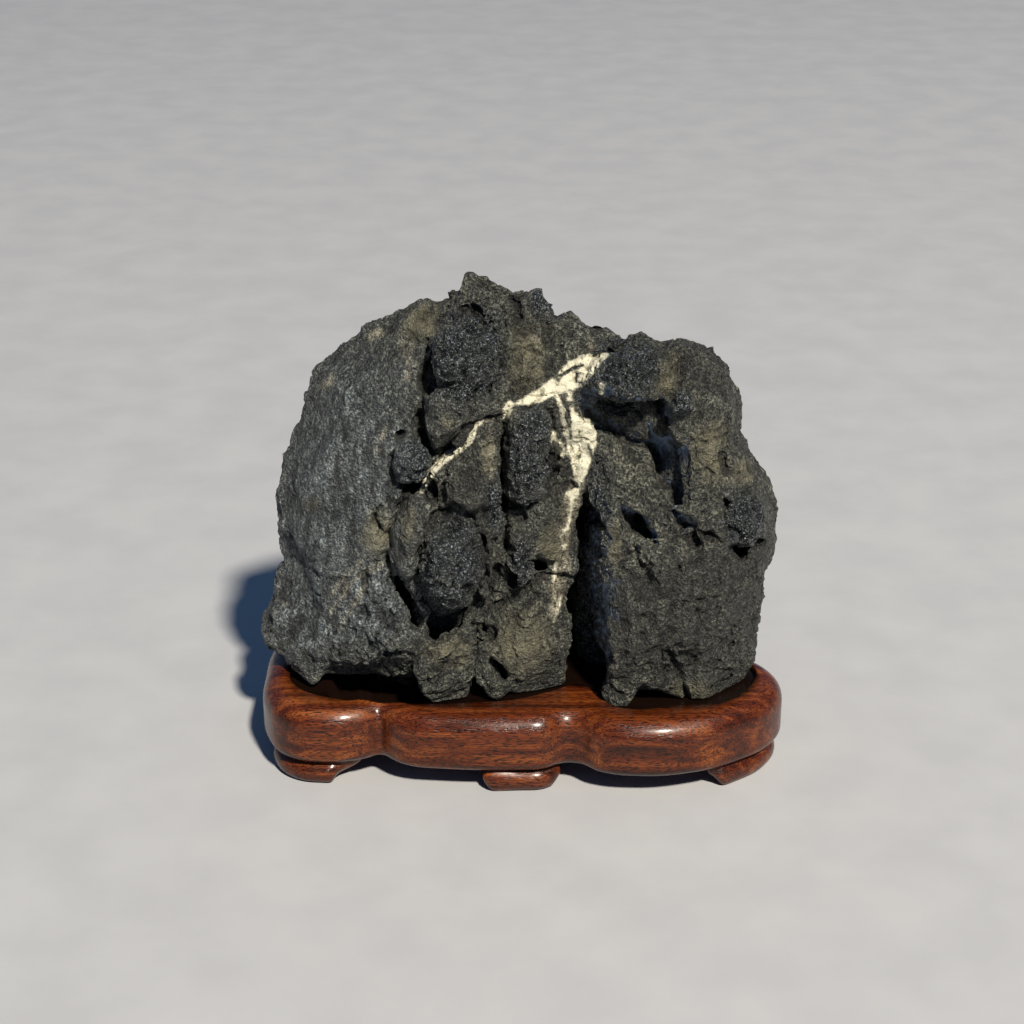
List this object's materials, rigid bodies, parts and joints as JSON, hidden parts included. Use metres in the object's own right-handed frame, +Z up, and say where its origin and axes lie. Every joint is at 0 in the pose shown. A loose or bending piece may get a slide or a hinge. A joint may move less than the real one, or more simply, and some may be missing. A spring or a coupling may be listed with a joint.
{
  "type": "scholars rock",
  "caption": "Dark viewing stone with a peak, lumps, deep grooves and a pale vein, standing in a shallow seat on a low lobed hardwood stand with short feet",
  "frame": {"origin": "middle of the underside of the feet, on the surface the stand rests on", "axes": "+Z up, +X along the stand to the right as seen from the front, +Y towards the back; the face that is looked at is towards -Y"},
  "size_m": [0.1056, 0.0555, 0.0999],
  "materials": {
    "stone": "rough natural stone with a cream vein",
    "rosewood": "polished"
  },
  "bodies": {
    "root": {"stone": "stone", "stand": "rosewood"}
  },
  "joints": []
}
